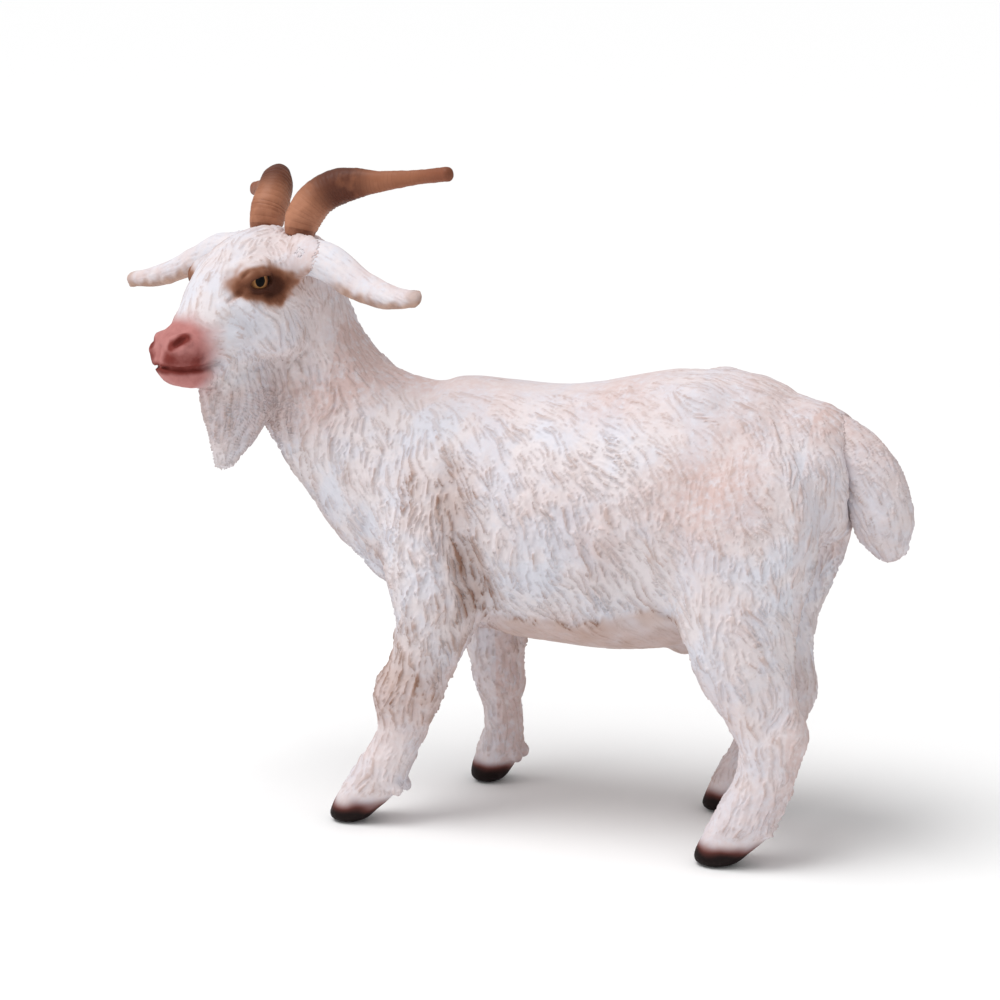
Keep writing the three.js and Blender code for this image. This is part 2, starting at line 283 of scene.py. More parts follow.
# ---- Muscles, knees and hooves ---------------------------------------------------------------
def sculpt_body(core):
    def swell(place, radii, blend):
        core.add(Ball(at(*place), radii), blend)

    for side in (-1, 1):
        swell((-6.5, side * 8.2, 38), (5, 4.6, 8.5), 3)  # shoulder blade
        swell((-5.5, side * 8.8, 31.5), (4.6, 4, 4.5), 3)  # upper arm
        swell((31, side * 7.8, 39), (6.4, 5.4, 9.5), 3)  # haunch
        swell((27.4, side * 6.4, 55.6), (2.6, 1.8, 1.7), 2.4)  # hip bone
        swell((40.6, side * 4.4, 44), (1.8, 2.4, 3), 2)  # buttock
        behind_shoulder = [(-2.4, 12.6, 46.5), (-0.9, 13, 42), (-0.2, 13, 37), (1.6, 12, 30.5)]
        groove = [core.on_skin(place, 1.1) for place in path(at, *mirrored(behind_shoulder, side))]
        core.cut(Rod(groove, [0.9, 1.6, 2.0, 2.2]), 1.6)
        core.cut(Ball(at(21.5, side * 16.2, 32.5), (4, 4, 6)), 3)  # flank
        core.cut(Rod(path(at, (-14, side * 13.6, 50), (-9.5, side * 14.2, 42)), 2), 3)
    for out in (-4, 0, 4):  # a slimmer nape
        nape = [(-15.5, 66.1), (-13.8, 62.8), (-11.7, 60.8), (-7.8, 60.4)]
        core.cut(Rod([at(x, out, z) for x, z in nape], [5.4, 6, 6, 4.6]), 2)
    core.add(Rod(path(at, (-15, 0, 52.9), (-9, 0, 51.8), (-3, 0, 52.2)), [2.1, 2.3, 2]), 3)
    core.add(Ball(at(-9.6, -10.6, 17), (2.9, 3, 2.9)), 2)  # front knees
    core.add(Ball(at(-4.2, 9.7, 14.4), (2.6, 2.7, 2.7)), 2)
    core.cut(Ball(at(21.4, 0, 21.2), (3, 7, 2.2)), 1.6)  # the belly rises towards the hind legs
    core.add(Ball(at(24.4, -0.6, 25.5), (2.2, 2.1, 2.5)), 0.8)  # scrotum
    core.add(Rod(path(at, (36.5, 0, 51.8), (42, 0, 50.6)), 3.6), 1.5)  # around the tail's root
    for x, y in ((40.9, -10.9), (36.8, 9.3)):
        core.add(Ball(at(x, y, 16.6), (1.9, 1.9, 2.6)), 1.6)  # hocks
        for out in (-1, 1):
            hollow = path(at, (x - 1.6, y + out * 4.3, 22.5), (x - 1, y + out * 4.2, 18.5))
            core.cut(Rod(hollow, 1.5), 1.6)


# Each hoof: the tip of its toe, its heel and the top of its cleft, as (x, y, z).
HOOVES = {
    "front_left": ((-19.4, -11.4, 0), (-14.6, -11.4, 0), (-16.9, -11.4, 4.4)),
    "front_right": ((-8, 9.6, 0), (-3.4, 9.6, 0), (-6.6, 9.6, 4)),
    "hind_left": ((28.6, -11.7, 0), (33.8, -11.7, 0), (30.7, -11.7, 4.2)),
    "hind_right": ((23.7, 8.5, 0), (28.8, 8.5, 0), (26, 8.5, 4.2)),
}
DEWCLAWS = {
    "front_left": (-9.4, -11.2, 5.2),
    "front_right": (-1.0, 9.6, 4.3),
    "hind_left": (38.2, -11.6, 5.4),
    "hind_right": (34.4, 8.7, 5.4),
}


def sculpt_hoof(grid, leg):
    toe, heel, top = (at(*place) for place in HOOVES[leg])
    block = Block((toe + heel) / 2 - (7, 5, 1.5), (toe + heel) / 2 + (9, 5, 8), FINE, grid)
    block.cut(Rod([heel, toe, toe * 0.45 + top * 0.55, top], [0.4, 0.55, 0.42, 0.15]), 0.4)
    for out in (-1, 1):
        claw = at(*DEWCLAWS[leg]) + (0, 1.25 * out, 0)
        block.add(Rod([claw + (-0.8, 0, 0.9), claw + (0.3, 0, -0.4)], [1.0, 0.75]), 0.6)
    block.paste(grid)


# ---- The face --------------------------------------------------------------------------------
EYE = (8.7, 5.75, -6.6)
EYE_RADIUS = 1.75
NOSTRIL = [(18.9, 2.3, -14), (18.5, 2.6, -13.8), (17.9, 2.9, -13.4), (17.5, 3, -13.2)]
MOUTH = [(20, 0, -16.7), (19.2, 2, -16.8), (17.4, 3.3, -17), (15.3, 3.7, -17), (13.2, 4, -16.6)]


def sculpt_head(grid, inserts):
    """The face, and sockets for the roots of the horns and ears in `inserts`."""
    low, high = (np.array(tuple(corner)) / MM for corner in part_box("head"))
    low[2] = POLL[2] - 34
    block = Block(low - 1.5, high + 2.5, FINE, grid)
    for side in (-1, 1):
        sculpt_cheek(block, side)
        sculpt_eye(block, side)
        sculpt_muzzle(block, side)
        sculpt_beard(block, side)
    block.cut(Ball(in_head(21.7, 0, -13.6), (2.5, 4.5, 2.8), HEAD_AXES), 1)  # blunt nose
    groove = [block.on_skin(in_head(*place)) for place in ((20, 0, -14), (20, 0, -15.9))]
    block.cut(Rod(groove, [0.14, 0.2]), 0.4)
    for points, triangles in inserts:
        block.cut_by(points, triangles, SOCKET_ROOM)
    block.paste(grid)


def skin_rod(block, side, radii, lift, *stations):
    """A rod that follows the face, its axis `lift` above the skin."""
    line = [block.on_skin(in_head(f, side * l, u), lift) for f, l, u in stations]
    return Rod(line, radii)


def sculpt_cheek(block, side):
    brow = [(11, 3.4, -5.2), (9.6, 5.2, -4.2), (7.4, 6.2, -4), (4.8, 6.3, -4.6)]
    block.add(skin_rod(block, side, [0.5, 1.0, 1.1, 0.6], -0.5, *brow), 0.9)
    cheek_bone = [(12.6, 4.4, -9.6), (9.6, 5.8, -9.9), (6, 6.3, -9.4)]
    block.add(skin_rod(block, side, [0.6, 1.0, 0.6], -0.6, *cheek_bone), 0.9)
    jaw = Ball(in_head(4.8, side * 4.4, -13.4), (3.6, 2.7, 3.2), HEAD_AXES)
    block.add(jaw, 1.6)
    below_bone = [(12.4, 4.6, -11.8), (9, 6, -12), (7.4, 6.4, -11.6)]
    block.cut(skin_rod(block, side, [0.8, 1.3, 0.8], 0.9, *below_bone), 0.9)
    broad, flat = ear_axes()
    axes = np.array([HEAD_LEFT, broad, flat])
    block.add(Ball(in_head(2.6, side * 6, -4.2), (6.2, 2.7, 1.6), axes), 1.6)  # ear's root


def sculpt_eye(block, side):
    """Lids are a shell around the eyeball with an almond cut out of it."""
    centre = in_head(EYE[0], side * EYE[1], EYE[2])
    block.add(Ball(centre, EYE_RADIUS + 0.38), 0.7)
    slant = math.radians(8)
    along_lids = HEAD_AXES[0] * math.cos(slant) - HEAD_AXES[2] * math.sin(slant)
    up_lids = HEAD_AXES[2] * math.cos(slant) + HEAD_AXES[0] * math.sin(slant)
    axes = np.array([along_lids, HEAD_AXES[1], up_lids])
    almond = Ball(in_head(8.5, side * 7.6, -6.8), (1.75, 1.6, 0.72), axes)
    block.cut(almond, 0.08)
    block.add(Ball(centre, EYE_RADIUS), 0.02)
    crease = [(10.6, 5.8, -6.6), (9.8, 6.8, -5.2), (8.3, 7.3, -4.75), (6.6, 6.7, -5.4)]
    block.cut(skin_rod(block, side, [0.14, 0.26, 0.26, 0.14], 0.14, *crease), 0.3)
    pouch = [(10.2, 6.4, -8.1), (8.8, 7, -8.7), (7.2, 6.8, -8.1)]
    block.cut(skin_rod(block, side, [0.14, 0.26, 0.14], 0.06, *pouch), 0.2)
    tear = [(10.5, 6.3, -7.3), (11.2, 5.7, -8), (12.2, 5, -9)]
    block.cut(skin_rod(block, side, [0.3, 0.42, 0.22], 0, *tear), 0.3)


def sculpt_muzzle(block, side):
    """Lip pads, a nostril between two rims, the mouth and the lower lip."""
    block.add(Ball(in_head(16.4, side * 1.5, -14.9), (2.9, 2.5, 2.4), HEAD_AXES), 0.8)
    block.add(Ball(in_head(14.8, side * 0.9, -17.7), (3.7, 2.3, 1.9), HEAD_AXES), 0.5)
    upper_rim = [(18.9, 1.9, -12.9), (18.2, 2.7, -12.6), (17, 3, -12.6)]
    block.add(skin_rod(block, side, [0.25, 0.42, 0.3], -0.1, *upper_rim), 0.5)
    lower_rim = [(18.9, 2.5, -14.7), (18, 3, -14.5), (17, 3.2, -13.9)]
    block.add(skin_rod(block, side, [0.25, 0.4, 0.3], -0.1, *lower_rim), 0.5)
    block.cut(skin_rod(block, side, [0.15, 0.42, 0.4, 0.15], -0.05, *NOSTRIL), 0.25)
    block.cut(skin_rod(block, side, [0.2, 0.3, 0.4, 0.34, 0.12], -0.1, *MOUTH), 0.25)
    wrinkle = [(16.6, 3.4, -15.6), (15.2, 3.8, -15.4), (14, 4, -14.6)]
    block.cut(skin_rod(block, side, [0.14, 0.24, 0.12], 0.06, *wrinkle), 0.2)


def sculpt_beard(block, side):
    for front, out in ((1.7, 0.7), (0.2, 1.8), (-1.6, 1.7), (-3, 0.6)):
        line = path(
            in_head,
            (8.8 + front, side * out, -19.5),
            (9.1 + 0.9 * front, side * out, -23),
            (10.1 + 0.45 * front, side * 0.6 * out, -26.6),
            (11 + 0.1 * front, side * 0.2 * out, -29.1),
        )
        block.add(Rod(line, [1.4, 1.55, 1.1, 0.3]), 1.1)


# ---- Fur --------------------------------------------------------------------------------------
STRAND = 0.22  # size of the random cells that the strands are drawn out of
STRAND_HEIGHT = 0.23
TUFT = 0.62  # the same for the tufts that the strands hang in
TUFT_HEIGHT = 0.15
LATTICE = 64  # cells along each side of the random lattice, before it repeats
SMEAR_STEPS = 13  # samples along a strand
FLOW_CHUNK = 20000  # points per pass, which bounds the memory used
# Where the coat lies how: place, direction, and length and height of its strands.
# The trunk's and legs' places are measured from the goat's middle, on its left side.
BODY_FLOW = [
    ((-21, -3, 61), (0.5, -0.5, -0.8), 1.8, 0.4),  # nape
    ((-27, -7.5, 60), (0.05, 0, -1), 2.2, 0.9),
    ((-19, -9.5, 49), (-0.12, 0, -1), 2.7, 1.1),
    ((-33.5, -3, 55), (0.3, -0.2, -1), 2.4, 1.0),  # throat
    ((-24, -4, 41), (0.25, -0.1, -1), 2.7, 1.1),
    ((-14, -7, 30), (0.2, 0, -1), 2.4, 1.0),  # breast
    ((-12, -4, 53.5), (0.7, -0.5, -0.4), 2.0, 0.45),  # withers
    ((-8, -12, 46), (0.1, 0, -1), 2.4, 1.0),
    ((-8, -12, 34), (0.15, 0, -1), 2.6, 1.1),
    ((1, -13, 34), (0.3, 0, -0.95), 2.5, 1.25),
    ((0, -4, 55), (0.8, -0.5, -0.1), 1.8, 0.3),  # back
    ((18, -4, 56.5), (0.85, -0.5, -0.1), 1.8, 0.3),
    ((4, -11.5, 49), (0.7, 0, -0.7), 2.1, 0.85),
    ((15, -12, 49), (0.6, 0, -0.8), 2.1, 0.85),
    ((10, -14, 41), (0.42, 0, -0.9), 2.3, 1.0),
    ((8, -12.5, 31), (0.3, 0, -0.95), 2.5, 1.15),
    ((17, -12, 30.5), (0.35, 0, -0.95), 2.5, 1.2),
    ((22, -13.5, 40), (0.4, 0, -0.9), 2.1, 0.85),
    ((24, -11, 30), (0.6, 0, -0.8), 2.2, 1.0),
    ((28, -7, 57.5), (0.85, -0.3, -0.5), 1.8, 0.3),  # croup
    ((31, -12.5, 47), (0.35, 0, -0.94), 2.0, 0.3),
    ((34, -12.5, 37), (0.2, 0, -1), 2.3, 0.65),
    ((41, -6, 44), (0.3, -0.3, -0.9), 1.9, 0.5),
    ((42, -8, 33), (0.3, 0, -1), 2.4, 0.9),
    ((35, -13.5, 26), (0.3, 0, -0.95), 2.2, 0.85),
    ((38.5, -13.5, 17), (0.05, 0, -1), 1.8, 0.5),
    ((37.5, -13.5, 9), (-0.25, 0, -1), 1.7, 0.5),
    ((40, -11, 6), (0.1, 0, -1), 2.3, 0.8),
    ((33, -14, 5), (-0.5, 0, -0.9), 1.5, 0.5),
    ((-4, -14, 27), (0.05, 0, -1), 2.3, 1.0),
    ((-1, -11, 22), (0.1, 0, -1), 2.3, 1.0),
    ((-8, -13.5, 19), (-0.3, 0, -1), 2.0, 0.7),
    ((-11, -13.5, 9), (-0.35, 0, -1), 1.6, 0.5),
    ((-8, -12, 6), (0.0, 0, -1), 2.2, 0.7),
    ((-14, -14, 5), (-0.6, 0, -0.8), 1.4, 0.4),
]
# The head's are in its own axes, on its left side.
HEAD_FLOW = [
    ((-2, 3, 0.5), (-0.6, 0.3, -0.7), 1.8, 0.5),
    ((4, 2, 0), (0.9, 0.3, -0.35), 1.9, 0.5),
    ((9, 2.4, -3), (0.75, 0.4, -0.55), 1.9, 0.45),
    ((13, 2, -8), (0.4, 0.5, -0.7), 1.4, 0.2),
    ((5, 6.4, -3.4), (-0.3, 0.4, -0.8), 1.6, 0.4),
    ((4, 7, -8), (-0.6, 0, -0.8), 1.6, 0.4),
    ((10, 6, -11.5), (-0.6, 0, -0.75), 1.5, 0.4),
    ((5, 6.3, -13.5), (-0.55, 0, -0.85), 1.9, 0.75),
    ((13, 4.6, -14.5), (-0.8, 0, -0.5), 1.4, 0.35),
    ((10, 4, -18), (-0.2, 0, -1), 2.6, 0.9),
    ((4, 5, -19), (-0.2, 0, -1), 2.4, 1.0),
    ((10.4, 3, -22), (0.08, -0.1, -1), 5, 1.0),
    ((6, 3, -23), (0.25, -0.1, -1), 5, 1.0),
    ((10, 2, -27), (0.25, -0.2, -1), 4.5, 0.9),
]


def flow_table():
    rows = []
    for side in (-1, 1):
        for place, direction, *sizes in BODY_FLOW:
            flip = np.array([1, -side, 1])
            rows.append([*at(*(place * flip)), *(direction * flip), *sizes])
        for place, direction, *sizes in HEAD_FLOW:
            flip = np.array([1, side, 1])
            rows.append([*in_head(*(place * flip)), *((direction * flip) @ HEAD_AXES), *sizes])
    return np.array(rows)


def blended_flow(points, table):
    """The table's directions and sizes at each point, weighted by nearness."""
    result = np.empty((len(points), table.shape[1] - 3))
    for start in range(0, len(points), FLOW_CHUNK):
        chunk = slice(start, start + FLOW_CHUNK)
        away = ((points[chunk, None, :] - table[None, :, :3]) ** 2).sum(-1)
        weight = 1 / (away + 1) ** 2
        result[chunk] = weight @ table[:, 3:] / weight.sum(1, keepdims=True)
    return result


def smoothstep(low, high, value):
    share = np.clip((value - low) / (high - low), 0, 1)
    return share * share * (3 - 2 * share)


def noise_at(points, scale, seed):
    """Smooth noise, about -1 to 1."""
    moved = (points + seed * 37.3) / scale
    return np.array([noise.noise(place) for place in moved.tolist()])


def near(points, place, reach):
    """1 at a place, and 0 from `reach` away from it."""
    return 1 - smoothstep(0, reach, np.linalg.norm(points - place, axis=1))


def own_side(local):
    """Per point, the signs that move a place on the left side to the point's own side."""
    signs = np.ones_like(local)
    signs[:, 1] = np.where(local[:, 1] < 0, -1, 1)
    return signs


def bald_belly(points):
    x, y, z = (points - CENTRE).T
    line = 27.8 + 2.5 * smoothstep(12, 23, x) + 1.6 * smoothstep(2, -4, x)
    line += 0.9 * noise_at(points * (1, 1, 0.3), 1.4, 9)
    within = smoothstep(0.5, 3.5, x) * smoothstep(28, 26, x) * smoothstep(12.8, 12, np.abs(y))
    return smoothstep(line + 0.45, line - 0.45, z) * within * (z > 21)


def bare(points):
    """How bare each point is: 1 on belly, spine, hooves, eyes, muzzle and the roots of the tail and
    ears.
    """
    x, y, z = (points - CENTRE).T
    spine = smoothstep(5.2, 3.2, np.abs(y)) * smoothstep(-13, -10, x) * smoothstep(27, 20, x)
    spine *= z > 50
    hoof = smoothstep(4.6, 3.6, z)
    local = (points - POLL) @ HEAD_AXES.T
    forward, _, up = local.T
    muzzle = smoothstep(-1.0, 1.0, forward - 14.2 - 0.9 * np.maximum(up + 13, 0)) * (up > -21)
    from_eye = np.linalg.norm((local - EYE * own_side(local)) * (0.85, 1, 1.2), axis=1)
    lids = smoothstep(3.2, 2.3, from_eye)
    socket = smoothstep(3.4, 2.6, beyond_socket(points))
    ear = np.linalg.norm(local * own_side(local) - (2.6, 9.6, -4.2), axis=1)
    socket = np.maximum(socket, smoothstep(3.4, 2.4, ear))
    return np.clip(np.max([bald_belly(points), spine, hoof, muzzle, lids, socket], 0), 0, 1)


def beyond_socket(points):
    """Distance from the axis of the tail's socket, where the tail's root is smooth."""
    mouth = at(39.2, 0, 51.5)
    return np.linalg.norm((points - mouth) * (0.9, 0.75, 0.75), axis=1)


class Lattice:
    """Smooth random values in space, with a spread of about 1."""

    def __init__(self, rng, cell):
        self.cell = cell
        self.values = rng.normal(size=(LATTICE, LATTICE, LATTICE)).astype(np.float32)

    def __call__(self, points):
        place = points / self.cell
        low = np.floor(place)
        share = (place - low).astype(np.float32)
        share = share * share * (3 - 2 * share)
        low = low.astype(np.int64)
        total = np.zeros(len(points), np.float32)
        for corner in np.ndindex(2, 2, 2):
            weight = np.where(np.array(corner, bool), share, 1 - share).prod(1)
            total += weight * self.values[tuple(((low + corner) % LATTICE).T)]
        return total


def drawn_out(lattice, points, run, length):
    """The lattice's values smeared along each point's own direction, with a spread of 1."""
    total = np.zeros(len(points))
    for step in np.linspace(-0.5, 0.5, SMEAR_STEPS):
        total += lattice(points + run * (step * length)[:, None])
    total *= np.sqrt(length)
    return total / total.std()


def tangent(run, normals):
    """Directions laid down onto the surface."""
    run = run - (run * normals).sum(1, keepdims=True) * normals
    return run / np.maximum(np.linalg.norm(run, axis=1, keepdims=True), 1e-9)


def fur_height(points, normals, rng, table):
    """Each point's move along its normal, for wavy strands in tufts, and how strongly its grooves
    are tinted and given painted shade.
    """
    flow = blended_flow(points, table)
    run = tangent(flow[:, :3], normals)
    turn = 0.6 * noise_at(points, 6, 1) + 0.75 * noise_at(points, 2.1, 2)
    turn = (turn * np.minimum(2.4 / flow[:, 3], 1))[:, None]
    run = run * np.cos(turn) + np.cross(normals, run) * np.sin(turn)
    cover = np.maximum(1 - bare(points), 0.1)
    strand = drawn_out(Lattice(rng, STRAND), points, run, flow[:, 3])
    tuft = drawn_out(Lattice(rng, TUFT), points, run, 1.5 * flow[:, 3])
    groove = smoothstep(-0.3, -1.3, strand)
    parting = smoothstep(-0.3, -1.7, tuft)
    strands = STRAND_HEIGHT * (0.22 * strand.clip(-1, 2) - groove)
    tufts = TUFT_HEIGHT * (0.25 * tuft.clip(-1, 2) - parting)
    # Strand grooves, and more weakly the partings between tufts, get painted shade with a pinkish
    # tint.
    groove_wash_and_shade = (groove * (0.65 + 0.5 * parting) + 0.25 * parting) * np.minimum(2 * cover, 1)
    return (strands + tufts) * flow[:, 4] * cover, groove_wash_and_shade


# ---- Cutting the surface into its mouldings -----------------------------------------------------
class Shell:
    """A closed surface: per vertex its place, normal and masks; per triangle, if it is a cut."""

    def __init__(self, data, triangles, cut=None):
        self.data = data
        self.triangles = triangles
        self.cut = np.zeros(len(triangles), bool) if cut is None else cut

    def beyond(self, point, normal):
        return (self.data[:, :3] - point) @ np.array(normal, float)


def split(shell, distance, hub=None):
    """The closed parts of a shell where the distance is over and under 0."""
    data, triangles = shell.data, shell.triangles
    distance = np.where(np.abs(distance) < 1e-7, 1e-7, distance)
    over = distance[triangles] > 0
    count = over.sum(1)
    mixed = (count == 1) | (count == 2)
    corners = triangles[mixed]
    lone_over = count[mixed] == 1
    lone = np.where(lone_over[:, None], over[mixed], ~over[mixed]).argmax(1)
    rows = np.arange(len(corners))
    a, b, c = (corners[rows, (lone + k) % 3] for k in range(3))
    edges = np.sort(np.concatenate([np.stack([a, b], 1), np.stack([a, c], 1)]), 1)
    unique, which = np.unique(edges, axis=0, return_inverse=True)
    which = which.reshape(-1) + len(data)
    ab, ac = which[: len(a)], which[len(a) :]
    share = distance[unique[:, 0]] / (distance[unique[:, 0]] - distance[unique[:, 1]])
    new = data[unique[:, 0]] + share[:, None] * (data[unique[:, 1]] - data[unique[:, 0]])
    data = np.concatenate([data, new])
    tip = np.stack([a, ab, ac], 1)
    stump = np.concatenate([np.stack([ab, b, c], 1), np.stack([ab, c, ac], 1)])
    twice = np.concatenate([lone_over, lone_over])
    old = shell.cut[mixed]
    parts = []
    for wanted, full in ((True, 3), (False, 0)):
        tips, stumps = lone_over == wanted, twice != wanted
        kept = [triangles[count == full], tip[tips], stump[stumps]]
        cut = [shell.cut[count == full], old[tips], np.concatenate([old, old])[stumps]]
        rim = np.where(tips[:, None], np.stack([ac, ab], 1), np.stack([ab, ac], 1))
        part = Shell(data, np.concatenate(kept), np.concatenate(cut))
        parts.append(capped(part, rim, hub))
    return parts


def capped(part, rim, hub):
    """The part with a flat face inside its rim, as a fan, and unused vertices dropped."""
    middle = part.data[rim[:, 0]].mean(0)
    if hub is not None:
        middle[:3] = hub
    data = np.concatenate([part.data, middle[None]])
    cap = np.column_stack([rim, np.full(len(rim), len(data) - 1)])
    triangles = np.concatenate([part.triangles, cap])
    cut = np.concatenate([part.cut, np.ones(len(cap), bool)])
    used, renumbered = np.unique(triangles, return_inverse=True)
    return Shell(data[used], renumbered.reshape(-1, 3), cut)


def make_piece(node, shell, masks, material):
    name = f"goat_{node}"
    data, triangles = shell.data, shell.triangles
    mesh = bpy.data.meshes.new(name)
    mesh.vertices.add(len(data))
    mesh.vertices.foreach_set("co", (data[:, :3] * MM).astype(np.float32).ravel())
    mesh.loops.add(triangles.size)
    mesh.loops.foreach_set("vertex_index", triangles.astype(np.int32).ravel())
    mesh.polygons.add(len(triangles))
    mesh.polygons.foreach_set("loop_start", np.arange(0, triangles.size, 3, dtype=np.int32))
    mesh.update(calc_edges=True)
    for k, mask in enumerate(masks):
        attribute = mesh.attributes.new(mask, "FLOAT", "POINT")
        attribute.data.foreach_set("value", data[:, 6 + k].astype(np.float32))
    mesh.shade_smooth()
    normals = data[triangles, 3:6]
    a, b, c = (data[triangles[shell.cut][:, k], :3] for k in range(3))
    normals[shell.cut] = np.cross(b - a, c - a)[:, None, :]
    normals /= np.maximum(np.linalg.norm(normals, axis=2, keepdims=True), 1e-12)
    mesh.normals_split_custom_set(normals.reshape(-1, 3).tolist())
    piece = bpy.data.objects.new(name, mesh)
    bpy.context.scene.collection.objects.link(piece)
    mesh.materials.append(material)
    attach(piece, "root")
    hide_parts(node)
    return piece


# ---- Building the coat's shell ---------------------------------------------------------------
MASKS = ["groove", "blush", "tan", "muzzle", "deep", "patch", "hoof"]


def paint_masks(points, groove):
    """Where each paint lies: per vertex, the masks in the order of MASKS."""
    x, y, z = (points - CENTRE).T
    side = np.abs(y)
    local = (points - POLL) @ HEAD_AXES.T
    forward, left, up = local.T
    left_side = local * own_side(local)
    on_head = smoothstep(21, 16, np.linalg.norm(points - in_head(8, 0, -10), axis=1))
    cloud = noise_at(points, 9, 4)
    fine = noise_at(points, 2.2, 5)

    blush = 0.05 + 0.4 * cloud
    blush += 0.5 * smoothstep(50, 55, z) * (x > -20)  # along the back
    blush += 0.55 * near(points, at(17.5, -14, 38), 8)  # a soft band over the barrel
    blush += 1.3 * near(points, at(31, -12, 46), 12) + 1.3 * near(points, at(31, 12, 46), 12)
    blush += 0.5 * near(points, at(-22, -6, 55), 12) + 0.4 * (x > 41)
    blush += 0.35 * smoothstep(30, 14, z)
    blush += 0.5 * smoothstep(-5, 2, x + 18 + 0.8 * (z - 60)) * smoothstep(52, 56, z) * (x < -8)
    # Blush low on the belly, between the legs, is painted shade on the underside.
    blush += 0.45 * smoothstep(30, 26, z) * (x > -3) * (x < 26) * (side < 12)
    blush += 0.5 * smoothstep(-18.5, -21, up) * on_head

    crease = Rod(path(at, (-2, 12.6, 45), (-0.4, 13, 38), (1.6, 12, 30)), 0.5)
    mirrored_points = np.stack([points[:, 0], BODY_MIDDLE + side, points[:, 2]], 1)
    # Tan behind each shoulder. On the bald belly the tan is painted shade under the fringe of the
    # coat.
    tan = 1.1 * smoothstep(4.2, 0, crease(mirrored_points)) + 1.5 * bald_belly(points)
    before_shoulder = Rod(path(at, (-9, 12, 47), (-6.5, 12.5, 40)), 0.5)
    tan += 0.5 * smoothstep(3, 0, before_shoulder(mirrored_points))
    tan += 1.4 * near(points, at(-8.5, -13, 19.5), 9) + 0.6 * near(points, at(-3, -12, 27), 6)
    tan += 0.6 * near(points, at(-1, 8, 20), 7) + 0.4 * near(points, at(38, -8, 24), 6)
    tan += 1.1 * near(points, at(25.5, 0, 26), 4.5)
    tan += 1.1 * near(left_side, (2, 7, -7.4), 3.4) * on_head  # under the ear, partly painted shade that the ear casts
    tan += 0.7 * near(left_side, (0.4, 4.1, -0.6), 3.4) * on_head  # around the horn
    tan *= 0.75 + 0.35 * fine

    muzzle = smoothstep(-2.2, 2.2, forward - 14 - 1.1 * np.maximum(up + 12.5, 0) + 0.7 * fine)
    muzzle *= on_head * smoothstep(-21.5, -19.8, up)
    lip = [(19.2, 2, -15.5), (16.4, 3.6, -15.9)]
    deep = 1.1 * smoothstep(1.2, 0.1, Rod(MOUTH, 0)(left_side) + 0.25 * fine)
    deep = np.maximum(deep, smoothstep(1.2, 0.2, Rod(NOSTRIL, 0)(left_side)))
    deep = np.maximum(deep, 0.7 * smoothstep(1.8, 0.3, Rod(lip, 0)(left_side)))

    from_eye = np.hypot((forward - 7.7) / 4.6, (up + 7.3) / 2.9) + 0.2 * fine
    from_eye += 0.12 * noise_at(points, 0.9, 10)
    patch = smoothstep(1.25, 0.15, from_eye) * smoothstep(2.5, 4.5, np.abs(left)) * on_head

    hoof = smoothstep(4.5, 0.9, z + 0.7 * fine)
    return np.stack([groove, blush, tan, muzzle, deep, patch, hoof], 1).clip(0, 1.5)


def coat_shell(grid, rng, table):
    """The level set's surface with its fur in relief, as a shell that faces inwards."""
    points, triangles = surface_of(grid)
    normals = vertex_normals(points, triangles)
    height, groove = fur_height(points, normals, rng, table)
    covered = 1 - bare(points)
    lump = 0.14 * noise_at(points, 5, 6) + 0.08 * noise_at(points, 1.9, 7)
    lump *= (0.35 + 0.65 * covered) * smoothstep(0, 1.5, points[:, 2])
    lump -= 0.55 * bald_belly(points)
    # These normals point inwards, so what has a negative height stands out from the coat.
    points = points + normals * (height + lump)[:, None]
    points[:, 2] = np.maximum(points[:, 2], 0)
    normals = vertex_normals(points, triangles)
    masks = paint_masks(points, groove)
    return Shell(np.concatenate([points, normals, masks], 1), triangles)


def leg_distance(shell, leg):
    """Distance above a leg's sloping joint; everything away from the leg counts as above."""
    front, left = leg.startswith("front"), leg.endswith("left")
    side = -1 if left else 1
    out, z, tilt = (10.4, 24.8, 28) if front else (10, 26, 25)
    tilt = math.radians(tilt)
    above = shell.beyond(at(0, side * out, z), (0, -side * math.sin(tilt), math.cos(tilt)))
    x, y, _ = (shell.data[:, :3] - CENTRE).T
    ours = (x < 5 if front else x > 22) & ((y < 0) == left)
    return np.where(ours, above, np.maximum(above, 1))


# ---- Horns, ears and tail --------------------------------------------------------------------
SPINE_STEPS = 400  # places where a swept axis is measured
HORN_ROWS, HORN_SLICES = 420, 72
HORN_RINGS = 60
EAR_ROWS, EAR_SLICES = 240, 96
HORN_MASKS = ["share", "groove"]
EAR_MASKS = ["share", "inside", "groove"]


def along(stations, t):
    """Smooth values at places t, 0 to 1, along evenly spaced rows (Catmull-Rom)."""
    stations = np.array(stations, float)
    last = len(stations) - 1
    position = np.clip(t, 0, 1) * last
    i = np.minimum(np.floor(position).astype(int), last - 1)
    f = (position - i)[:, None]
    a, b, c, d = (stations[np.clip(i + k, 0, last)] for k in (-1, 0, 1, 2))
    return b + 0.5 * f * (c - a + f * (2 * a - 5 * b + 4 * c - d + f * (3 * (b - c) + d - a)))


